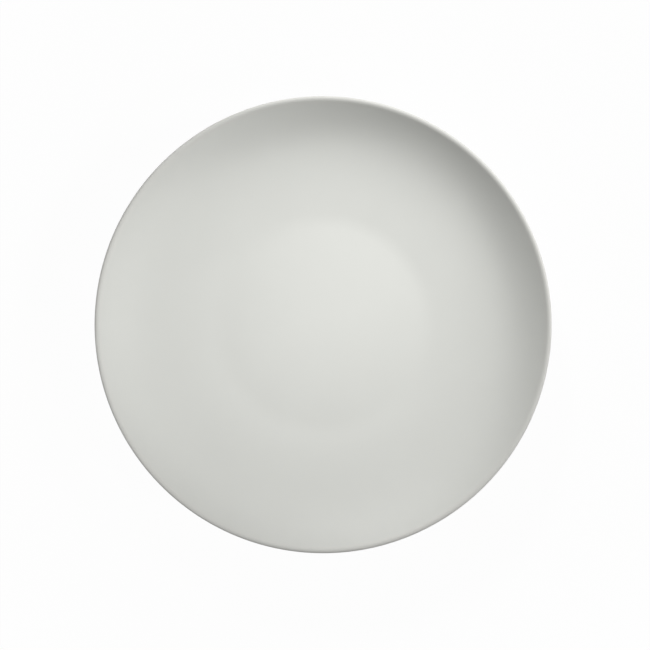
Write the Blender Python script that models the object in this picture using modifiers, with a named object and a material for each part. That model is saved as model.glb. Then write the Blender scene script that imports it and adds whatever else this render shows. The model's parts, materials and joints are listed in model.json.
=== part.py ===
"""A coupe charger plate in glazed porcelain, at its real size.

The plate is a fired porcelain body, turned in one piece with its foot ring, and the satin glaze that is
fired onto it. The foot ring is wiped clean of glaze where it stands, so the glaze is two separate coats:
one over the well, the wall, the lip and the outside, and one inside the foot ring.

Units are metres, +Z is up, and the origin is the centre of the circle that the plate stands on.
"""

import math

import bpy
import numpy as np

# The finished, glazed plate
PLATE_DIAMETER = 0.320
PLATE_HEIGHT = 0.0360
WELL_DIAMETER = 0.138
WELL_BREAK_RADIUS = 0.090
FLOOR_THICKNESS = 0.0062

# The wall's sweep: its slope at both ends, and the share of its span over which each end holds its slope
SHOULDER_SLOPE = math.radians(7.0)
SHOULDER_FULLNESS = 0.46
RIM_SLOPE = math.radians(38.0)
RIM_FULLNESS = 0.37

# The lip, half an ellipse that ends the wall: its full thickness, and how far it reaches past the wall's end
LIP_THICKNESS = 0.0036
LIP_REACH = 0.0030

# The foot ring, measured to its sharp corners before they are rounded
FOOT_DIAMETER = 0.172
FOOT_WIDTH = 0.0036
FOOT_HEIGHT = 0.0040
FOOT_DRAFT = math.radians(14.0)
FOOT_EDGE_RADIUS = 0.0009
FOOT_FILLET_RADIUS = 0.0028

# The glaze, and the height on the foot ring below which it was wiped off
GLAZE_THICKNESS = 0.0004
GLAZE_GAP = 0.0003
GLAZE_LINE_HEIGHT = 0.0015

# Colours of the fired surfaces
PORCELAIN_COLOUR = "#E6E2D8"
GLAZE_COLOUR = "#DEDFDA"
PORCELAIN_ROUGHNESS = 0.75
GLAZE_ROUGHNESS = 0.42

# How finely the round stretches are divided
TURN_STEPS = 64
BREAK_STEPS = 2
WALL_STEPS = 8
LIP_STEPS = 6
FILLET_STEPS = 3
EDGE_STEPS = 2
BEAD_STEPS = 4
MERGE_DISTANCE = 0.000001

# The bare body, which lies one coat of glaze inside the finished surface
COAT = GLAZE_GAP + GLAZE_THICKNESS
BODY_FLOOR_TOP = FOOT_HEIGHT + FLOOR_THICKNESS - COAT
BODY_FLOOR_BOTTOM = FOOT_HEIGHT + COAT
BODY_FLOOR_THICKNESS = BODY_FLOOR_TOP - BODY_FLOOR_BOTTOM
BODY_LIP_HALF = LIP_THICKNESS / 2 - COAT
BODY_LIP_REACH = LIP_REACH - COAT


def heading(slope):
    """Unit vector in the (radius, height) plane that leaves the axis and climbs at a slope."""
    return np.array([math.cos(slope), math.sin(slope)])


def leftward(along):
    """Vectors turned a quarter turn to their left, at unit length."""
    left = np.column_stack([-along[:, 1], along[:, 0]])
    return left / np.linalg.norm(left, axis=1, keepdims=True)


def arc(centre, radius, start, end, steps):
    """Points of a circular arc between two angles, both ends included."""
    angles = np.linspace(start, end, steps + 1)
    return centre + radius * np.column_stack([np.cos(angles), np.sin(angles)])


def round_corner(before, corner, after, radius, steps):
    """Points of the arc that rounds a corner and touches the straight stretches on both sides of it."""
    back = (before - corner) / np.linalg.norm(before - corner)
    ahead = (after - corner) / np.linalg.norm(after - corner)
    half_angle = math.acos(np.dot(back, ahead)) / 2
    middle = (back + ahead) / np.linalg.norm(back + ahead)
    centre = corner + middle * radius / math.sin(half_angle)
    first = corner + back * radius / math.tan(half_angle) - centre
    last = corner + ahead * radius / math.tan(half_angle) - centre
    start = math.atan2(first[1], first[0])
    turn = math.atan2(first[0] * last[1] - first[1] * last[0], np.dot(first, last))
    return arc(centre, radius, start, start + turn, steps)


def lip_centre():
    """Centre of the lip's ellipse, which puts the finished lip at the plate's full diameter and height."""
    outward = math.hypot(BODY_LIP_REACH * math.cos(RIM_SLOPE), BODY_LIP_HALF * math.sin(RIM_SLOPE))
    upward = math.hypot(BODY_LIP_REACH * math.sin(RIM_SLOPE), BODY_LIP_HALF * math.cos(RIM_SLOPE))
    return np.array([PLATE_DIAMETER / 2 - COAT - outward, PLATE_HEIGHT - COAT - upward])


def lip_round():
    """The body's lip, from the end of the upper face round to the end of the under face."""
    angles = np.linspace(math.pi / 2, -math.pi / 2, LIP_STEPS + 1)[:, None]
    outward = BODY_LIP_REACH * np.cos(angles) * heading(RIM_SLOPE)
    across = BODY_LIP_HALF * np.sin(angles) * heading(RIM_SLOPE + math.pi / 2)
    return lip_centre() + outward + across


def offset(path, distance):
    """The path moved to its left, every straight stretch of it by the same distance."""
    left = leftward(np.diff(path, axis=0))
    corners = left[:-1] + left[1:]
    corners /= np.sum(corners * left[1:], axis=1, keepdims=True)
    return path + distance * np.vstack([left[:1], corners, left[-1:]])


def split_at_height(path, height):
    """A path that runs down the foot, split where it passes a height, with the first half ending there."""
    below = int(np.argmax(path[:, 1] < height))
    high, low = path[below - 1], path[below]
    crossing = high + (low - high) * (high[1] - height) / (high[1] - low[1])
    return np.vstack([path[:below], crossing]), path[below:]


def shell_faces():
    """The body's upper and under faces, as points that face each other from the axis to the lip.

    The well is flat, a wide arc breaks it upwards, and the wall is one cubic sweep from there to the lip.
    The floor keeps its thickness up to the sweep, along which the wall thins evenly to the lip.
    """
    slopes = np.linspace(0.0, SHOULDER_SLOPE, BREAK_STEPS + 1)
    break_across = np.column_stack([-np.sin(slopes), np.cos(slopes)])
    break_centre = np.array([WELL_DIAMETER / 2, BODY_FLOOR_TOP + WELL_BREAK_RADIUS])
    well_break = break_centre - WELL_BREAK_RADIUS * break_across

    start = well_break[-1]
    end = lip_centre() + BODY_LIP_HALF * heading(RIM_SLOPE + math.pi / 2)
    span = np.linalg.norm(end - start)
    start_handle = start + SHOULDER_FULLNESS * span * heading(SHOULDER_SLOPE)
    end_handle = end - RIM_FULLNESS * span * heading(RIM_SLOPE)
    u = np.linspace(0.0, 1.0, WALL_STEPS + 1)[1:, None]
    v = 1 - u
    sweep = v**3 * start + 3 * v**2 * u * start_handle + 3 * v * u**2 * end_handle + u**3 * end
    along = v**2 * (start_handle - start)
    along = along + 2 * v * u * (end_handle - start_handle) + u**2 * (end - end_handle)
    thinning = (BODY_FLOOR_THICKNESS - 2 * BODY_LIP_HALF) * u

    upper = np.vstack([[0.0, BODY_FLOOR_TOP], well_break, sweep])
    across = np.vstack([[0.0, 1.0], break_across, leftward(along)])
    thickness = np.full((len(upper), 1), BODY_FLOOR_THICKNESS)
    thickness[-WALL_STEPS:] -= thinning
    return upper, upper - thickness * across


def foot_corners(under):
    """Sharp corners of the foot ring: outer root, outer edge, inner edge and inner root."""
    outer_edge = np.array([FOOT_DIAMETER / 2, 0.0])
    inner_edge = outer_edge - [FOOT_WIDTH, 0.0]
    beyond_side = under[:, 0] - outer_edge[0] - under[:, 1] * math.tan(FOOT_DRAFT)
    outer_root = np.array([np.interp(0.0, beyond_side, axis) for axis in under.T])
    inner_root = inner_edge + BODY_FLOOR_BOTTOM * np.array([-math.tan(FOOT_DRAFT), 1.0])
    return outer_root, outer_edge, inner_edge, inner_root


def body_outline():
    """The body's outline, from the axis round to the axis again, in three stretches.

    The first lies under the outer glaze, the second is the dry foot, the third lies under the base glaze.
    """
    upper, under = shell_faces()
    outer_root, outer_edge, inner_edge, inner_root = foot_corners(under)
    base_centre = np.array([0.0, BODY_FLOOR_BOTTOM])

    # A fillet in a corner as open as this one reaches less than its radius along each side.
    outside = under[under[:, 0] > outer_root[0] + FOOT_FILLET_RADIUS][::-1]
    outer_fillet = round_corner(outside[-1], outer_root, outer_edge, FOOT_FILLET_RADIUS, FILLET_STEPS)
    outer_round = round_corner(outer_root, outer_edge, inner_edge, FOOT_EDGE_RADIUS, EDGE_STEPS)
    inner_round = round_corner(outer_edge, inner_edge, inner_root, FOOT_EDGE_RADIUS, EDGE_STEPS)
    inner_fillet = round_corner(inner_edge, inner_root, base_centre, FOOT_FILLET_RADIUS, FILLET_STEPS)

    down_outside = np.vstack([upper[:-1], lip_round(), outside[1:], outer_fillet, outer_round])
    down_inside = np.vstack([base_centre, inner_fillet[::-1], inner_round[::-1]])
    outer_covered, outer_dry = split_at_height(down_outside, GLAZE_LINE_HEIGHT)
    base_covered, inner_dry = split_at_height(down_inside, GLAZE_LINE_HEIGHT)
    return outer_covered, np.vstack([outer_dry, inner_dry[::-1]]), base_covered[::-1]


def bead(start, end):
    """The rounded edge where a coat of glaze stops, half a turn from one of its faces to the other."""
    centre = (start + end) / 2
    spoke = start - centre
    angle = math.atan2(spoke[1], spoke[0])
    return arc(centre, np.linalg.norm(spoke), angle, angle - math.pi, BEAD_STEPS)[1:-1]


def outer_glaze_outline(covered):
    """Over the well and the lip and down to the glaze line on the foot, then back along the body."""
    face = offset(covered, COAT)
    back = offset(covered, GLAZE_GAP)
    return np.vstack([face, bead(face[-1], back[-1]), back[::-1]])


def base_glaze_outline(covered):
    """Along the body from the axis and down to the glaze line inside the foot, then back over the base."""
    face = offset(covered, COAT)
    back = offset(covered, GLAZE_GAP)
    return np.vstack([back[::-1], bead(back[0], face[0]), face])


def linear_colour(hex_colour):
    """The colour of an sRGB hex value in linear light, opaque."""
    channels = np.array([int(hex_colour[i:i + 2], 16) for i in (1, 3, 5)]) / 255
    linear = np.where(channels <= 0.04045, channels / 12.92, ((channels + 0.055) / 1.055) ** 2.4)
    return (*linear, 1.0)


def fired_material(name, hex_colour, roughness):
    """A non-metallic fired surface."""
    material = bpy.data.materials.new(name)
    material.use_nodes = True
    shader = material.node_tree.nodes["Principled BSDF"]
    shader.inputs["Base Color"].default_value = linear_colour(hex_colour)
    shader.inputs["Roughness"].default_value = roughness
    shader.inputs["Metallic"].default_value = 0.0
    return material


def turned(name, outline, material, collection):
    """An object turned about the Z axis from an outline that starts and ends on the axis."""
    mesh = bpy.data.meshes.new(name)
    points = [(radius, 0.0, height) for radius, height in outline.tolist()]
    edges = [(i, i + 1) for i in range(len(points) - 1)]
    mesh.from_pydata(points, edges, [])
    mesh.materials.append(material)
    piece = bpy.data.objects.new(name, mesh)
    collection.objects.link(piece)
    screw = piece.modifiers.new("Turn", "SCREW")
    screw.axis = "Z"
    screw.steps = TURN_STEPS
    screw.render_steps = TURN_STEPS
    screw.use_merge_vertices = True
    screw.merge_threshold = MERGE_DISTANCE
    screw.use_smooth_shade = True
    return piece


def main():
    """Make the plate: the body at the origin, and the two coats of glaze carried by it."""
    for old_object in list(bpy.data.objects):
        bpy.data.objects.remove(old_object)
    plate = bpy.data.collections.new("charger_plate")
    bpy.context.scene.collection.children.link(plate)

    outer_covered, dry_foot, base_covered = body_outline()
    porcelain = fired_material("fired_porcelain", PORCELAIN_COLOUR, PORCELAIN_ROUGHNESS)
    outer_satin = fired_material("outer_satin_glaze", GLAZE_COLOUR, GLAZE_ROUGHNESS)
    base_satin = fired_material("base_satin_glaze", GLAZE_COLOUR, GLAZE_ROUGHNESS)

    body = turned("porcelain_body", np.vstack([outer_covered, dry_foot, base_covered]), porcelain, plate)
    outer_glaze = turned("outer_glaze", outer_glaze_outline(outer_covered), outer_satin, plate)
    base_glaze = turned("base_glaze", base_glaze_outline(base_covered), base_satin, plate)
    outer_glaze.parent = body
    base_glaze.parent = body


main()
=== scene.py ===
"""Looks of a coupe charger plate in satin-glazed porcelain, made round its packed frame.

Every surface is a profile in the plane of radius and height, carried round the plate's axis. The fired
body shows only at its dry foot ring. Two coats of glaze cover the rest of it: one over the well, the wall,
the lip and the outside, and one inside the foot ring. Units are metres and +Z is up.
"""

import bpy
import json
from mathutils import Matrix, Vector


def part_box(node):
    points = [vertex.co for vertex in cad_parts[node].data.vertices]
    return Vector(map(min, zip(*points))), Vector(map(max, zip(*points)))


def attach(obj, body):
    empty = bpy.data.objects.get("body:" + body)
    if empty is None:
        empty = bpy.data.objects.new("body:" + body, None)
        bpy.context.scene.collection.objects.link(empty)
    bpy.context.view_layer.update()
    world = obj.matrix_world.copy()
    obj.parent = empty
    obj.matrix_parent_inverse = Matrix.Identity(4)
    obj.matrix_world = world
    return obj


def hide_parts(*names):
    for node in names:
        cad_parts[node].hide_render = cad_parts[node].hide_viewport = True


bl_info = {
    "name": "Coupe charger plate",
    "version": (1, 0, 0),
    "blender": (4, 5, 0),
    "location": "3D View > Sidebar > Charger plate",
    "description": "Turns and glazes a coupe charger plate and sets it on a white table",
    "category": "Add Mesh",
}

import json
import math
from typing import NamedTuple

import bpy
import numpy as np
from mathutils import Vector

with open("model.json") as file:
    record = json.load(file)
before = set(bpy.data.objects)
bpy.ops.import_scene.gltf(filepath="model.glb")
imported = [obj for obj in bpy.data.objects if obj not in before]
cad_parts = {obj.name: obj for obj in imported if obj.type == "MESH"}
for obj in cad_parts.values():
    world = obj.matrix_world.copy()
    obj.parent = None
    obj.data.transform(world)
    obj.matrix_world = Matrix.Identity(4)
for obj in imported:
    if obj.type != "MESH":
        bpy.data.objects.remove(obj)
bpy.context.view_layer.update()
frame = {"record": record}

BODY = "root"
DEPTH_NAME = "glaze_depth"

# Places that the packed plate gives: its outline, the top of its well, and the middle of its foot ring
PLATE_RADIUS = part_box("outer_glaze")[1].x
PLATE_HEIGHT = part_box("outer_glaze")[1].z
MOUNTS = {mount["name"]: Vector(mount["pos_m"]) for mount in frame["record"]["mounts"]}
WELL_HEIGHT = MOUNTS["well_face"].z
FOOT_MIDDLE = MOUNTS["standing_face"].xy.length

# How finely the surfaces are divided
TURN_STEPS = 320
WELL_STEPS = 8
BREAK_STEPS = 8
WALL_STEPS = 56
LIP_STEPS = 28
FILLET_STEPS = 10
EDGE_STEPS = 6
BEAD_STEPS = 6
HIDDEN_STRIDE = 3

# Depth of glaze, with 1 for the usual coat: what the lip loses, what the foot's corner gains, and what is
# left at a wiped edge
THIN_LOSS = 0.65
THICK_GAIN = 0.45
THIN_EDGE = 0.45

# The photograph's frame: pixels across, and the centre and radius of the plate's outline in it
PHOTO_PIXELS = 650
PLATE_CENTRE_PIXELS = (323.1, 324.7)
PLATE_RADIUS_PIXELS = 228.8

MILLIMETRE = 0.001


def linear(hex_colour):
    """The colour of an sRGB hex value in linear light, opaque."""
    channels = np.array([int(hex_colour[i:i + 2], 16) for i in (1, 3, 5)]) / 255
    light = np.where(channels <= 0.04045, channels / 12.92, ((channels + 0.055) / 1.055) ** 2.4)
    return (*light.tolist(), 1.0)


def length(name, description, default):
    """A property that holds a length of the plate."""
    return bpy.props.FloatProperty(
        name=name, description=description, default=default, min=0.0, precision=5, unit="LENGTH"
    )


def slope(name, description, degrees):
    """A property that holds an angle of the plate's profile."""
    return bpy.props.FloatProperty(
        name=name, description=description, default=math.radians(degrees), subtype="ANGLE"
    )


def share(name, description, default):
    """A property that holds a part of one."""
    return bpy.props.FloatProperty(
        name=name, description=description, default=default, min=0.0, max=1.0, subtype="FACTOR"
    )


def colour(name, description, hex_colour):
    """A property that holds a colour."""
    return bpy.props.FloatVectorProperty(
        name=name, description=description, default=linear(hex_colour), size=4, min=0.0, max=1.0,
        subtype="COLOR",
    )


class PlateShape(bpy.types.PropertyGroup):
    """Sizes of the finished, glazed plate."""

    radius: length("Radius", "From the axis to the outermost point of the lip", PLATE_RADIUS)
    height: length("Height", "From the table to the top of the lip", PLATE_HEIGHT)
    well_height: length("Well height", "From the table to the flat of the well", WELL_HEIGHT)
    well_radius: length("Well radius", "From the axis to where the well starts to rise", 0.069)
    break_radius: length("Break radius", "Radius of the wide arc that ends the well", 0.090)
    shoulder_slope: slope("Shoulder slope", "Climb of the wall where it leaves the well", 7.0)
    shoulder_fullness: share("Shoulder fullness", "Share of the wall that keeps the shoulder slope", 0.46)
    rim_slope: slope("Rim slope", "Climb of the wall where it meets the lip", 38.0)
    rim_fullness: share("Rim fullness", "Share of the wall that keeps the rim slope", 0.37)
    lip_thickness: length("Lip thickness", "Thickness of the wall where the lip starts", 0.0036)
    lip_reach: length("Lip reach", "How far the rounded lip reaches past the wall", 0.0030)
    foot_middle: length("Foot ring radius", "From the axis to the middle of the foot ring", FOOT_MIDDLE)
    foot_width: length("Foot ring width", "Width of the foot ring before its edges are rounded", 0.0036)
    foot_height: length("Foot ring height", "From the table to the base inside the foot ring", 0.0040)
    foot_draft: slope("Foot ring draft", "Lean of the sides of the foot ring", 14.0)
    foot_edge: length("Foot ring edge", "Radius of the edges that the plate stands on", 0.0009)
    foot_fillet: length("Foot ring fillet", "Radius in the corners above the foot ring", 0.0028)


class GlazeShape(bpy.types.PropertyGroup):
    """Sizes of the coats of glaze."""

    coat: length("Coat", "From the body to the finished surface", 0.0007)
    bond: length("Bond", "Room between the body and the back of a coat", 0.00002)
    edge: length("Edge", "Thickness of a coat where it was wiped off the foot", 0.00024)
    thinning: length("Thinning", "Stretch above the wiped edge along which a coat thins", 0.0036)
    line_height: length("Glaze line", "Height on the foot ring where the glaze stops", 0.0015)
    line_waver: length("Waver", "How far the wiped line strays up and down", 0.00011)
    lip_stretch: length("Lip stretch", "Reach of the thin glaze on both sides of the lip", 0.0042)
    pool_stretch: length("Pool stretch", "Reach of the thick glaze above the foot", 0.0040)


class PlateLook(bpy.types.PropertyGroup):
    """Colours and finish of the fired surfaces."""

    glaze: colour("Glaze", "Satin glaze at its usual thickness", "#DFE0DB")
    glaze_cloud: colour("Glaze cloud", "Satin glaze where it fired a little denser", "#DEDFDA")
    glaze_thin: colour("Thin glaze", "Glaze drawn thin over the lip, with the warm body showing", "#DFDFDA")
    glaze_pooled: colour("Pooled glaze", "Glaze that gathered in the corner above the foot", "#D3D6D0")
    glaze_roughness: share("Glaze roughness", "Roughness of the satin glaze", 0.60)
    bisque: colour("Dry foot", "Bare fired porcelain", "#E6E2D8")
    bisque_grain: colour("Dry foot grain", "Darker grain in the bare porcelain", "#CFC9BC")
    bisque_worn: colour("Dry foot worn", "Grey of the standing face, ground flat and rubbed", "#D2CFC8")
    bisque_roughness: share("Dry foot roughness", "Roughness of the bare porcelain", 0.78)


class StageLook(bpy.types.PropertyGroup):
    """The table, the room and the camera's lens."""

    floor_size: length("Table size", "Length of the table's sides", 6.0)
    floor_gap: length("Table gap", "Room between the table and the foot ring", 0.0001)
    floor: colour("Table", "Colour of the table", "#F2F2F2")
    shadow: share("Shadow", "Share of the table near the plate that shows light and shade", 0.03)
    shadow_reach: length("Shadow reach", "Distance from the axis where the shade has faded out", 0.45)
    glow: share("Glow", "Share of plain white that the table throws up at the outside of the plate", 0.35)
    fill: share("Fill", "Brightness of the room as light on the plate", 0.03)
    lens: bpy.props.FloatProperty(
        name="Lens", description="Focal length of the camera", default=100.0, min=1.0, unit="CAMERA"
    )


class Lamp(NamedTuple):
    """A lamp aimed at a point of the table: angles in degrees, power in watts, lengths in metres."""

    name: str
    azimuth: float
    elevation: float
    power: float
    pool: float
    aim: tuple


# Soft lamps, set from the photograph's shading. The back and the right lamp leave the wall between them
# dark. Each is aimed at the wall that it lights, so the wall across from the dark one gets less light
# too. The other two fill the well and the left side. A pool is the radius at which a lamp's light on the
# table ends.
LAMP_DISTANCE = 1.3
LAMP_RADIUS = 0.12
LAMPS = (
    Lamp("back", azimuth=105, elevation=30, power=50, pool=0.25, aim=(0.08, -0.04)),
    Lamp("right", azimuth=10, elevation=30, power=33, pool=0.25, aim=(-0.06, 0.06)),
    Lamp("front_right_wide", azimuth=330, elevation=35, power=18, pool=0.50, aim=(-0.06, 0.06)),
    Lamp("top_left", azimuth=180, elevation=65, power=19, pool=0.30, aim=(-0.16, -0.02)),
)


def heading(angle):
    """Unit vector of (radius, height) that leaves the axis and climbs at an angle."""
    return np.array([math.cos(angle), math.sin(angle)])


def left_of(along):
    """Unit vectors a quarter turn to the left of the given directions."""
    left = np.column_stack([-along[:, 1], along[:, 0]])
    return left / np.linalg.norm(left, axis=1, keepdims=True)


def travelled(profile):
    """Distance along a profile from its first point to each of its points."""
    return np.concatenate([[0.0], np.cumsum(np.linalg.norm(np.diff(profile, axis=0), axis=1))])


def remaining(profile):
    """Distance along a profile from each of its points to its last one."""
    distance = travelled(profile)
    return distance[-1] - distance


def smooth_step(value):
    """Runs from 0 to 1 as the value does, level at both ends: 3 v^2 - 2 v^3."""
    value = np.clip(value, 0.0, 1.0)
    return value * value * (3 - 2 * value)


def arc(centre, radius, start, end, steps):
    """A circular arc: centre + radius (cos a, sin a), with a even between two angles."""
    angles = np.linspace(start, end, steps + 1)
    return centre + radius * np.column_stack([np.cos(angles), np.sin(angles)])


def round_corner(before, corner, after, radius, steps):
    """The arc that touches both sides of a corner: its centre lies radius / sin(half angle) inside it."""
    back = (before - corner) / np.linalg.norm(before - corner)
    ahead = (after - corner) / np.linalg.norm(after - corner)
    half_angle = math.acos(np.dot(back, ahead)) / 2
    middle = (back + ahead) / np.linalg.norm(back + ahead)
    centre = corner + middle * radius / math.sin(half_angle)
    first = corner + back * radius / math.tan(half_angle) - centre
    last = corner + ahead * radius / math.tan(half_angle) - centre
    start = math.atan2(first[1], first[0])
    turn = math.atan2(first[0] * last[1] - first[1] * last[0], np.dot(first, last))
    return arc(centre, radius, start, start + turn, steps)


def tangents(profile):
    """Unit vectors along a profile: the difference of each point's two neighbours, at length 1."""
    along = np.gradient(profile, axis=0)
    return along / np.linalg.norm(along, axis=1, keepdims=True)


def moved_left(profile, distance):
    """A profile moved to its left, out of the material, by one distance or by a distance for each point."""
    return profile + left_of(tangents(profile)) * np.reshape(distance, (-1, 1))


def thinned(profile):
    """A profile with fewer points, for a surface that nothing shows: one in each stride, and both ends."""
    return np.vstack([profile[:-1:HIDDEN_STRIDE], profile[-1:]])


class BodyProfile(NamedTuple):
    """The body's outline in three stretches, and three of its points.

    The outer stretch runs from the axis over the lip to the glaze line, the dry one under the foot ring,
    and the base from the axis to the glaze line inside the ring.
    """

    outer: np.ndarray
    dry: np.ndarray
    base: np.ndarray
    lip_tip: np.ndarray
    outer_root: np.ndarray
    inner_root: np.ndarray


def lip_profile(shape, coat):
    """The lip: half an ellipse that reaches past the wall and is as thick as the wall's end.

    Point = centre + reach cos t (along the wall) + half thickness sin t (across it), with t from 90 to -90
    degrees. The centre puts the finished lip at the plate's full radius and height.
    """
    half = shape.lip_thickness / 2 - coat
    reach = shape.lip_reach - coat
    along = heading(shape.rim_slope)
    across = heading(shape.rim_slope + math.pi / 2)
    extent = np.hypot(reach * along, half * across)
    centre = np.array([shape.radius, shape.height]) - coat - extent
    turn = np.linspace(math.pi / 2, -math.pi / 2, LIP_STEPS + 1)[:, None]
    return centre + reach * np.cos(turn) * along + half * np.sin(turn) * across


def shell_faces(shape, coat, lip):
    """The body's upper and under faces, as points that face each other from the axis to the lip.

    The well is flat, a wide arc breaks it upwards, and the wall is a cubic sweep from there to the lip. The
    under face lies one thickness below, across the upper one, and the wall thins evenly along the sweep.
    """
    floor_top = shape.well_height - coat
    floor_thickness = floor_top - shape.foot_height - coat
    slopes = np.linspace(0.0, shape.shoulder_slope, BREAK_STEPS + 1)
    break_across = np.column_stack([-np.sin(slopes), np.cos(slopes)])
    break_centre = np.array([shape.well_radius, floor_top + shape.break_radius])
    well_break = break_centre - shape.break_radius * break_across
    well = np.linspace([0.0, floor_top], well_break[0], WELL_STEPS, endpoint=False)

    start, end = well_break[-1], lip[0]
    span = np.linalg.norm(end - start)
    start_handle = start + shape.shoulder_fullness * span * heading(shape.shoulder_slope)
    end_handle = end - shape.rim_fullness * span * heading(shape.rim_slope)
    u = np.linspace(0.0, 1.0, WALL_STEPS + 1)[1:, None]
    v = 1 - u
    sweep = v**3 * start + 3 * v**2 * u * start_handle + 3 * v * u**2 * end_handle + u**3 * end
    along = v**2 * (start_handle - start)
    along = along + 2 * v * u * (end_handle - start_handle) + u**2 * (end - end_handle)

    upper = np.vstack([well, well_break, sweep])
    across = np.vstack([np.tile([0.0, 1.0], (WELL_STEPS, 1)), break_across, left_of(along)])
    thickness = np.full((len(upper), 1), floor_thickness)
    thickness[-WALL_STEPS:] += (np.linalg.norm(lip[0] - lip[-1]) - floor_thickness) * u
    return upper, upper - thickness * across


def split_at_height(profile, height):
    """A profile that runs down the foot, split where it passes a height: the first half ends there."""
    below = int(np.argmax(profile[:, 1] < height))
    high, low = profile[below - 1], profile[below]
    crossing = high + (low - high) * (high[1] - height) / (high[1] - low[1])
    return np.vstack([profile[:below], crossing]), profile[below:]


def body_profile(shape, glaze):
    """The fired body, which lies one coat inside the finished plate, with the foot ring under its shell.

    The ring's sides lean by its draft. Arcs round its two edges and fill the two corners above it.
    """
    lip = lip_profile(shape, glaze.coat)
    upper, under = shell_faces(shape, glaze.coat, lip)
    base_height = shape.foot_height + glaze.coat
    lean = math.tan(shape.foot_draft)
    outer_edge = np.array([shape.foot_middle + shape.foot_width / 2, 0.0])
    inner_edge = outer_edge - [shape.foot_width, 0.0]
    inner_root = inner_edge + base_height * np.array([-lean, 1.0])
    beyond_side = under[:, 0] - outer_edge[0] - under[:, 1] * lean
    outer_root = np.array([np.interp(0.0, beyond_side, axis) for axis in under.T])

    # A fillet in a corner as open as this one reaches less than its radius along each side.
    outside = under[under[:, 0] > outer_root[0] + shape.foot_fillet][::-1]
    outer_fillet = round_corner(outside[-1], outer_root, outer_edge, shape.foot_fillet, FILLET_STEPS)
    outer_round = round_corner(outer_root, outer_edge, inner_edge, shape.foot_edge, EDGE_STEPS)
    inner_round = round_corner(outer_edge, inner_edge, inner_root, shape.foot_edge, EDGE_STEPS)
    base_centre = np.array([0.0, base_height])
    inner_fillet = round_corner(inner_edge, inner_root, base_centre, shape.foot_fillet, FILLET_STEPS)
    base = np.linspace(base_centre, inner_fillet[-1], WELL_STEPS, endpoint=False)

    down_outside = np.vstack([upper[:-1], lip, outside[1:], outer_fillet, outer_round])
    down_inside = np.vstack([base, inner_fillet[::-1], inner_round[::-1]])
    outer, outer_dry = split_at_height(down_outside, glaze.line_height)
    inner, inner_dry = split_at_height(down_inside, glaze.line_height)
    dry = np.vstack([outer_dry, inner_dry[::-1]])
    return BodyProfile(outer, dry, inner, lip[LIP_STEPS // 2], outer_root, inner_root)


def bell(profile, middle, reach):
    """A bell along a profile, 1 at its point nearest to a place: exp(-(distance along it / reach)^2)."""
    distance = travelled(profile)
    nearest = np.argmin(np.linalg.norm(profile - middle, axis=1))
    return np.exp(-(((distance - distance[nearest]) / reach) ** 2))


class CoatProfile(NamedTuple):
    """A coat's outline, its depth of glaze at each point, and how each point slides with the glaze line."""

    outline: np.ndarray
    depth: np.ndarray
    slide: np.ndarray


def coat_profile(glaze, covered, thin_at, thick_at):
    """A coat over a stretch of the body that starts on the axis and ends at the glaze line.

    Its face lies one coat off the body and thins in a smooth step to its wiped edge, half a circle. Its
    back lies just off the body, by the bond. Its depth of glaze is 1, less a bell at thin_at and more a
    bell at thick_at, and it falls with the same step towards the line. Near the line, each point slides
    along the body.
    """
    rise = smooth_step(remaining(covered) / glaze.thinning)
    face = moved_left(covered, glaze.edge + (glaze.coat - glaze.edge) * rise)
    hidden = thinned(covered)
    hidden_rise = smooth_step(remaining(hidden) / glaze.thinning)
    back = moved_left(hidden, glaze.bond)
    middle = (face[-1] + back[-1]) / 2
    spoke = face[-1] - middle
    start = math.atan2(spoke[1], spoke[0])
    bead = arc(middle, np.linalg.norm(spoke), start, start - math.pi, BEAD_STEPS)[1:-1]

    depth = 1.0 + THICK_GAIN * bell(covered, thick_at, glaze.pool_stretch)
    if thin_at is not None:
        depth = depth - THIN_LOSS * bell(covered, thin_at, glaze.lip_stretch)
    depth = depth * (THIN_EDGE + (1 - THIN_EDGE) * rise)
    depths = np.concatenate([depth, np.full(len(bead), depth[-1]), np.ones(len(back))])

    ahead = tangents(covered)
    slide = (1 - rise)[:, None] * ahead
    hidden_slide = (1 - hidden_rise)[:, None] * tangents(hidden)
    slides = np.vstack([slide, np.tile(ahead[-1], (len(bead), 1)), hidden_slide[::-1]])
    outline = np.vstack([face, bead, back[::-1]])
    return CoatProfile(outline, depths, slides)


# Sines that make up the stray of the wiped glaze line: waves a turn, share of the stray, and phase
LINE_WAVES = ((3, 0.5, 0.4), (7, 0.3, 1.9), (16, 0.2, 4.1))


def waver(angles):
    """The wiped glaze line's stray, as a share: the sum of share sin(waves angle + phase)."""
    return sum(part * np.sin(waves * angles + phase) for waves, part, phase in LINE_WAVES)


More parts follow.
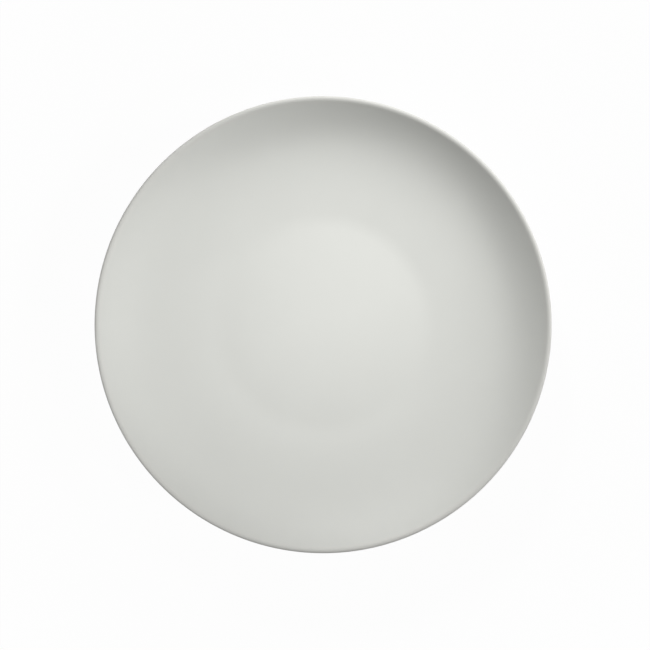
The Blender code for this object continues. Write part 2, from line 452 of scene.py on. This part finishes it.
def turned_mesh(name, outline, depth=None, slide=None):
    """A closed surface of two parameters: a point of an outline, and an angle round the Z axis.

    x = radius cos angle, y = radius sin angle, z = height. The outline starts and ends on the axis, where
    each end is one point. A slide moves each point of the outline by its own vector times a value for each
    angle.
    """
    angles = np.linspace(0.0, 2 * math.pi, TURN_STEPS, endpoint=False)
    rings = np.repeat(outline[1:-1, None, :], TURN_STEPS, axis=1)
    if slide is not None:
        rings = rings + slide[1:-1, None, :] * waver(angles)[None, :, None]
    radius, height = rings[..., 0], rings[..., 1]
    points = np.stack([radius * np.cos(angles), radius * np.sin(angles), height], axis=-1).reshape(-1, 3)
    first, last = [0.0, 0.0, outline[0, 1]], [0.0, 0.0, outline[-1, 1]]
    points = np.vstack([points, first, last])

    ring_count = len(outline) - 2
    here = np.arange(TURN_STEPS)
    there = np.roll(here, -1)
    ring = np.arange(ring_count - 1)[:, None] * TURN_STEPS
    quads = np.stack(
        [ring + here, ring + TURN_STEPS + here, ring + TURN_STEPS + there, ring + there], axis=-1
    ).reshape(-1, 4)
    last_ring = (ring_count - 1) * TURN_STEPS
    first_point = np.full(TURN_STEPS, len(points) - 2)
    last_point = np.full(TURN_STEPS, len(points) - 1)
    caps = np.vstack([
        np.column_stack([first_point, here, there]),
        np.column_stack([last_ring + here, last_point, last_ring + there]),
    ])

    mesh = bpy.data.meshes.new(name)
    mesh.from_pydata(points.tolist(), [], quads.tolist() + caps.tolist())
    mesh.shade_smooth()
    if depth is not None:
        values = np.concatenate([np.repeat(depth[1:-1], TURN_STEPS), depth[:1], depth[-1:]])
        attribute = mesh.attributes.new(DEPTH_NAME, "FLOAT", "POINT")
        attribute.data.foreach_set("value", values.astype(np.float32))
    mesh.validate()
    return mesh


def add_piece(name, mesh, material, node):
    """A finished piece of the plate, which rides on its body and stands for a node of the frame."""
    piece = bpy.data.objects.new(name, mesh)
    bpy.context.scene.collection.objects.link(piece)
    mesh.materials.append(material)
    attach(piece, BODY)
    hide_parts(node)


def add_node(tree, kind, inputs=None, out=0, **settings):
    """A node with its settings, and each input linked to a socket or set to a value. Gives one output."""
    node = tree.nodes.new(kind)
    for setting, value in settings.items():
        setattr(node, setting, value)
    for name, value in (inputs or {}).items():
        if isinstance(value, bpy.types.NodeSocket):
            tree.links.new(value, node.inputs[name])
        else:
            node.inputs[name].default_value = value
    return node.outputs[out] if node.outputs else None


def new_material(name):
    """A material with an empty node tree."""
    material = bpy.data.materials.new(name)
    material.use_nodes = True
    material.node_tree.nodes.clear()
    return material


# Sockets of a mix of two colours
MIX_FACTOR = 0
MIX_FROM = 6
MIX_TO = 7
MIX_RESULT = 2

# Sizes of the patterns in the fired surfaces. The skin of a satin glaze has bumps of about 0.5 mm and bare
# porcelain has grains of about 0.1 mm: both are drawn coarser, so that they show in a picture of the plate.
# The rubbed grey of the standing face fades out at the standing height.
GLAZE_CLOUD = 32 * MILLIMETRE
GLAZE_SATIN = 5 * MILLIMETRE
GLAZE_SWELL = 16 * MILLIMETRE
GLAZE_SWELL_HEIGHT = 0.012 * MILLIMETRE
GLAZE_SKIN = 1.4 * MILLIMETRE
GLAZE_SKIN_HEIGHT = 0.003 * MILLIMETRE
TURNING_SPACING = 4.5 * MILLIMETRE
TURNING_HEIGHT = 0.015 * MILLIMETRE
BISQUE_GRAIN = 0.5 * MILLIMETRE
BISQUE_GRAIN_HEIGHT = 0.02 * MILLIMETRE
GRINDING_SPACING = 0.6 * MILLIMETRE
GRINDING_HEIGHT = 0.015 * MILLIMETRE
STANDING_HEIGHT = 0.4 * MILLIMETRE

# A wave texture at scale 1 repeats its rings after this distance
WAVE_LENGTH = math.pi / 10

# Values between which most of a noise lies, and how far the roughness strays with it
NOISE_LOW = 0.35
NOISE_HIGH = 0.65
GLAZE_STRAY = 0.025
BISQUE_STRAY = 0.08

GLAZE_IOR = 1.5
BISQUE_IOR = 1.45


def finish_surface(tree, tone, roughness, bumps, ior):
    """The shader of a fired surface: its colour and roughness, with its bumps laid one over another."""
    normal = add_node(tree, "ShaderNodeNewGeometry", out="Normal")
    for pattern, height in bumps:
        normal = add_node(
            tree, "ShaderNodeBump",
            {"Height": pattern, "Distance": height, "Strength": 1.0, "Normal": normal},
        )
    shader = add_node(
        tree, "ShaderNodeBsdfPrincipled",
        {"Base Color": tone, "Roughness": roughness, "Normal": normal, "Metallic": 0.0, "IOR": ior},
    )
    add_node(tree, "ShaderNodeOutputMaterial", {"Surface": shader})


def glaze_material(name, look, turning_height):
    """Satin porcelain glaze, sprayed on and fired: a milky grey-white skin with a soft, wide sheen.

    It clouds a little where it fired denser, lets the warm body show where it drew thin, and greys where it
    pooled. Its skin swells and dimples very slightly. Faint rings from turning the body can lie under it.
    """
    material = new_material(name)
    tree = material.node_tree
    place = add_node(tree, "ShaderNodeTexCoord", out="Object")
    depth = add_node(tree, "ShaderNodeAttribute", out="Fac", attribute_name=DEPTH_NAME)

    cloud = add_node(tree, "ShaderNodeTexNoise", {"Vector": place, "Scale": 1 / GLAZE_CLOUD, "Detail": 3.0})
    dense = add_node(
        tree, "ShaderNodeMapRange", {"Value": cloud, "From Min": NOISE_LOW, "From Max": NOISE_HIGH}
    )
    thin = add_node(
        tree, "ShaderNodeMapRange", {"Value": depth, "From Min": 1.0, "From Max": 1.0 - THIN_LOSS},
        interpolation_type="SMOOTHSTEP",
    )
    pool = add_node(
        tree, "ShaderNodeMapRange", {"Value": depth, "From Min": 1.0, "From Max": 1.0 + THICK_GAIN}
    )
    milk = look.glaze
    for amount, tone in ((dense, look.glaze_cloud), (thin, look.glaze_thin), (pool, look.glaze_pooled)):
        milk = add_node(
            tree, "ShaderNodeMix", {MIX_FACTOR: amount, MIX_FROM: milk, MIX_TO: tone}, MIX_RESULT,
            data_type="RGBA",
        )

    satin = add_node(tree, "ShaderNodeTexNoise", {"Vector": place, "Scale": 1 / GLAZE_SATIN, "Detail": 2.0})
    sheen = add_node(
        tree, "ShaderNodeMapRange",
        {
            "Value": satin, "From Min": NOISE_LOW, "From Max": NOISE_HIGH,
            "To Min": look.glaze_roughness - GLAZE_STRAY, "To Max": look.glaze_roughness + GLAZE_STRAY,
        },
    )

    turning = add_node(
        tree, "ShaderNodeTexWave",
        {"Vector": place, "Scale": WAVE_LENGTH / TURNING_SPACING, "Distortion": 0.6, "Detail": 1.0},
        "Fac", wave_type="RINGS", rings_direction="Z",
    )
    swell = add_node(tree, "ShaderNodeTexNoise", {"Vector": place, "Scale": 1 / GLAZE_SWELL, "Detail": 1.0})
    skin = add_node(tree, "ShaderNodeTexNoise", {"Vector": place, "Scale": 1 / GLAZE_SKIN, "Detail": 2.0})
    bumps = ((turning, turning_height), (swell, GLAZE_SWELL_HEIGHT), (skin, GLAZE_SKIN_HEIGHT))
    finish_surface(tree, milk, sheen, bumps, GLAZE_IOR)
    return material


def bisque_material(name, look):
    """Bare porcelain, wiped clean before firing and ground flat: a chalky warm white with a fine grain.

    Grinding leaves fine rings in it, and the face that stands on the table is rubbed a little greyer.
    """
    material = new_material(name)
    tree = material.node_tree
    place = add_node(tree, "ShaderNodeTexCoord", out="Object")
    level = add_node(tree, "ShaderNodeSeparateXYZ", {"Vector": place}, "Z")

    grain = add_node(
        tree, "ShaderNodeTexNoise", {"Vector": place, "Scale": 1 / BISQUE_GRAIN, "Detail": 4.0}
    )
    specks = add_node(
        tree, "ShaderNodeMapRange", {"Value": grain, "From Min": NOISE_LOW, "From Max": NOISE_HIGH}
    )
    rubbed = add_node(
        tree, "ShaderNodeMapRange", {"Value": level, "From Min": STANDING_HEIGHT, "From Max": 0.0}
    )
    chalk = look.bisque
    for amount, tone in ((specks, look.bisque_grain), (rubbed, look.bisque_worn)):
        chalk = add_node(
            tree, "ShaderNodeMix", {MIX_FACTOR: amount, MIX_FROM: chalk, MIX_TO: tone}, MIX_RESULT,
            data_type="RGBA",
        )

    dryness = add_node(
        tree, "ShaderNodeMapRange",
        {
            "Value": grain, "From Min": NOISE_LOW, "From Max": NOISE_HIGH,
            "To Min": look.bisque_roughness - BISQUE_STRAY, "To Max": look.bisque_roughness + BISQUE_STRAY,
        },
    )

    grinding = add_node(
        tree, "ShaderNodeTexWave",
        {"Vector": place, "Scale": WAVE_LENGTH / GRINDING_SPACING, "Distortion": 1.5, "Detail": 2.0},
        "Fac", wave_type="RINGS", rings_direction="Z",
    )
    bumps = ((grinding, GRINDING_HEIGHT), (grain, BISQUE_GRAIN_HEIGHT))
    finish_surface(tree, chalk, dryness, bumps, BISQUE_IOR)
    return material


def seen_rays(tree):
    """A socket that is 1 for rays that show the background: from the camera, or by gloss or glass."""
    path = add_node(tree, "ShaderNodeLightPath").node.outputs
    seen = path["Is Camera Ray"]
    for kind in ("Is Glossy Ray", "Is Transmission Ray"):
        seen = add_node(tree, "ShaderNodeMath", {0: seen, 1: path[kind]}, operation="MAXIMUM")
    return seen


def table_material(name, stage):
    """White paper sweep: matt, seen as plain white, with a trace of the plate's shade close to it.

    Under the plate, from the lip in to the foot ring, the plain white fades out and the full shade shows.
    A share of the white is thrown up at the outside of the plate. From below the table isn't there, so
    that the foot ring can be looked at.
    """
    material = new_material(name)
    tree = material.node_tree
    place = add_node(tree, "ShaderNodeTexCoord", out="Object")
    distance = add_node(tree, "ShaderNodeVectorMath", {0: place}, "Value", operation="LENGTH")
    outside = add_node(
        tree, "ShaderNodeMapRange",
        {
            "Value": distance, "From Min": PLATE_RADIUS, "From Max": stage.shadow_reach,
            "To Min": 1.0 - stage.shadow, "To Max": 1.0,
        },
        interpolation_type="SMOOTHSTEP",
    )
    white = add_node(
        tree, "ShaderNodeMapRange",
        {"Value": distance, "From Min": FOOT_MIDDLE, "From Max": PLATE_RADIUS, "To Max": outside},
        interpolation_type="SMOOTHSTEP",
    )
    bright = add_node(
        tree, "ShaderNodeMapRange", {"Value": seen_rays(tree), "To Min": stage.glow, "To Max": white}
    )
    paper = add_node(tree, "ShaderNodeBsdfDiffuse", {"Color": stage.floor})
    plain = add_node(tree, "ShaderNodeEmission", {"Strength": 1.0})
    upper = add_node(tree, "ShaderNodeMixShader", {0: bright, 1: paper, 2: plain})
    under = add_node(tree, "ShaderNodeBsdfTransparent")
    side = add_node(tree, "ShaderNodeNewGeometry", out="Backfacing")
    both = add_node(tree, "ShaderNodeMixShader", {0: side, 1: upper, 2: under})
    add_node(tree, "ShaderNodeOutputMaterial", {"Surface": both})
    # The table is so wide and so near the base that sampling it as a lamp would draw its diagonal there.
    material.cycles.emission_sampling = "NONE"
    return material


def white_room(stage):
    """A world that is seen as plain white and lights the plate as a dim, even fill."""
    world = bpy.data.worlds.new("white_room")
    world.use_nodes = True
    tree = world.node_tree
    tree.nodes.clear()
    strength = add_node(
        tree, "ShaderNodeMapRange", {"Value": seen_rays(tree), "To Min": stage.fill, "To Max": 1.0}
    )
    room = add_node(tree, "ShaderNodeBackground", {"Strength": strength, "Color": (1.0, 1.0, 1.0, 1.0)})
    add_node(tree, "ShaderNodeOutputWorld", {"Surface": room})
    return world


class CHARGER_PLATE_OT_turn_body(bpy.types.Operator):
    """Turn the fired porcelain body, of which only the dry foot ring shows"""

    bl_idname = "charger_plate.turn_body"
    bl_label = "Turn the porcelain body"

    def execute(self, context):
        scene = context.scene
        body = body_profile(scene.plate_shape, scene.plate_glaze)
        outline = np.vstack([thinned(body.outer), body.dry, thinned(body.base)[::-1]])
        mesh = turned_mesh("fired_body", outline)
        material = bisque_material("bare_fired_porcelain", scene.plate_look)
        add_piece("fired_body", mesh, material, "porcelain_body")
        return {"FINISHED"}


class CHARGER_PLATE_OT_glaze_outside(bpy.types.Operator):
    """Glaze the well, the wall, the lip and the outside down to the foot ring"""

    bl_idname = "charger_plate.glaze_outside"
    bl_label = "Glaze the outside"

    def execute(self, context):
        scene = context.scene
        glaze = scene.plate_glaze
        body = body_profile(scene.plate_shape, glaze)
        coat = coat_profile(glaze, body.outer, body.lip_tip, body.outer_root)
        mesh = turned_mesh("outer_glaze_coat", coat.outline, coat.depth, coat.slide * glaze.line_waver)
        material = glaze_material("satin_porcelain_glaze", scene.plate_look, 0.0)
        add_piece("outer_glaze_coat", mesh, material, "outer_glaze")
        return {"FINISHED"}


class CHARGER_PLATE_OT_glaze_base(bpy.types.Operator):
    """Glaze the base inside the foot ring"""

    bl_idname = "charger_plate.glaze_base"
    bl_label = "Glaze the base"

    def execute(self, context):
        scene = context.scene
        glaze = scene.plate_glaze
        body = body_profile(scene.plate_shape, glaze)
        mirror = np.array([-1.0, 1.0])
        coat = coat_profile(glaze, body.base * mirror, None, body.inner_root * mirror)
        outline = coat.outline[::-1] * mirror
        slide = coat.slide[::-1] * mirror * glaze.line_waver
        mesh = turned_mesh("base_glaze_coat", outline, coat.depth[::-1], slide)
        material = glaze_material("satin_base_glaze", scene.plate_look, TURNING_HEIGHT)
        add_piece("base_glaze_coat", mesh, material, "base_glaze")
        return {"FINISHED"}


class CHARGER_PLATE_OT_set_stage(bpy.types.Operator):
    """Set the white table, the soft lamps and the camera straight above the plate"""

    bl_idname = "charger_plate.set_stage"
    bl_label = "Set the stage"

    def execute(self, context):
        scene = context.scene
        stage = scene.plate_stage
        self.lay_table(scene, stage)
        for lamp in LAMPS:
            self.hang_lamp(scene, lamp)
        self.hang_camera(scene, stage)
        scene.world = white_room(stage)
        scene.view_settings.view_transform = "Standard"
        return {"FINISHED"}

    def lay_table(self, scene, stage):
        """A square table just under the foot ring: corners at plus and minus half its size."""
        half = stage.floor_size / 2
        top = -stage.floor_gap
        corners = [(-half, -half, top), (half, -half, top), (half, half, top), (-half, half, top)]
        mesh = bpy.data.meshes.new("table")
        mesh.from_pydata(corners, [], [(0, 1, 2, 3)])
        mesh.materials.append(table_material("white_paper_sweep", stage))
        table = bpy.data.objects.new("table", mesh)
        scene.collection.objects.link(table)

    def hang_lamp(self, scene, lamp):
        """A lamp at its azimuth and elevation from the point it lights, whose cone just holds its pool."""
        light = bpy.data.lights.new(lamp.name, "SPOT")
        light.energy = lamp.power
        light.shadow_soft_size = LAMP_RADIUS
        light.spot_size = 2 * math.atan(lamp.pool / LAMP_DISTANCE)
        light.spot_blend = 1.0
        holder = bpy.data.objects.new(lamp.name, light)
        level = heading(math.radians(lamp.elevation))
        around = heading(math.radians(lamp.azimuth))
        reach = LAMP_DISTANCE * Vector((*(level[0] * around), level[1]))
        holder.location = Vector((*lamp.aim, 0.0)) + reach
        holder.rotation_euler = (-reach).to_track_quat("-Z", "Y").to_euler()
        holder.visible_camera = False
        scene.collection.objects.link(holder)

    def hang_camera(self, scene, stage):
        """A camera that looks straight down and frames the plate as the photograph does.

        One pixel is as many metres as the plate's radius has for each of its pixels, at the lip's height.
        """
        camera = bpy.data.cameras.new("camera")
        camera.lens = stage.lens
        pixel = PLATE_RADIUS / PLATE_RADIUS_PIXELS
        distance = PHOTO_PIXELS * pixel * camera.lens / camera.sensor_width
        holder = bpy.data.objects.new("camera", camera)
        holder.location = (
            (PHOTO_PIXELS / 2 - PLATE_CENTRE_PIXELS[0]) * pixel,
            (PLATE_CENTRE_PIXELS[1] - PHOTO_PIXELS / 2) * pixel,
            PLATE_HEIGHT + distance,
        )
        scene.collection.objects.link(holder)
        scene.camera = holder


class CHARGER_PLATE_PT_panel(bpy.types.Panel):
    """The plate's steps in the order of its making, and its settings"""

    bl_idname = "CHARGER_PLATE_PT_panel"
    bl_label = "Charger plate"
    bl_space_type = "VIEW_3D"
    bl_region_type = "UI"
    bl_category = "Charger plate"

    def draw(self, context):
        for step in STEPS:
            self.layout.operator(step.bl_idname)
        for name, group in SETTINGS.items():
            box = self.layout.box()
            box.label(text=group.__doc__)
            for setting in group.__annotations__:
                box.prop(getattr(context.scene, name), setting)


SETTINGS = {
    "plate_shape": PlateShape,
    "plate_glaze": GlazeShape,
    "plate_look": PlateLook,
    "plate_stage": StageLook,
}
STEPS = (
    CHARGER_PLATE_OT_turn_body,
    CHARGER_PLATE_OT_glaze_outside,
    CHARGER_PLATE_OT_glaze_base,
    CHARGER_PLATE_OT_set_stage,
)
CLASSES = (*SETTINGS.values(), *STEPS, CHARGER_PLATE_PT_panel)


def register():
    """Register the classes and put the plate's settings on the scene."""
    for item in CLASSES:
        bpy.utils.register_class(item)
    for name, group in SETTINGS.items():
        setattr(bpy.types.Scene, name, bpy.props.PointerProperty(type=group))


def unregister():
    """Take the plate's settings off the scene and the classes out of Blender."""
    for name in SETTINGS:
        delattr(bpy.types.Scene, name)
    for item in reversed(CLASSES):
        bpy.utils.unregister_class(item)


def main():
    """Make the plate and its stage."""
    register()
    bpy.ops.charger_plate.turn_body()
    bpy.ops.charger_plate.glaze_outside()
    bpy.ops.charger_plate.glaze_base()
    bpy.ops.charger_plate.set_stage()


if __name__ == "__main__":
    main()
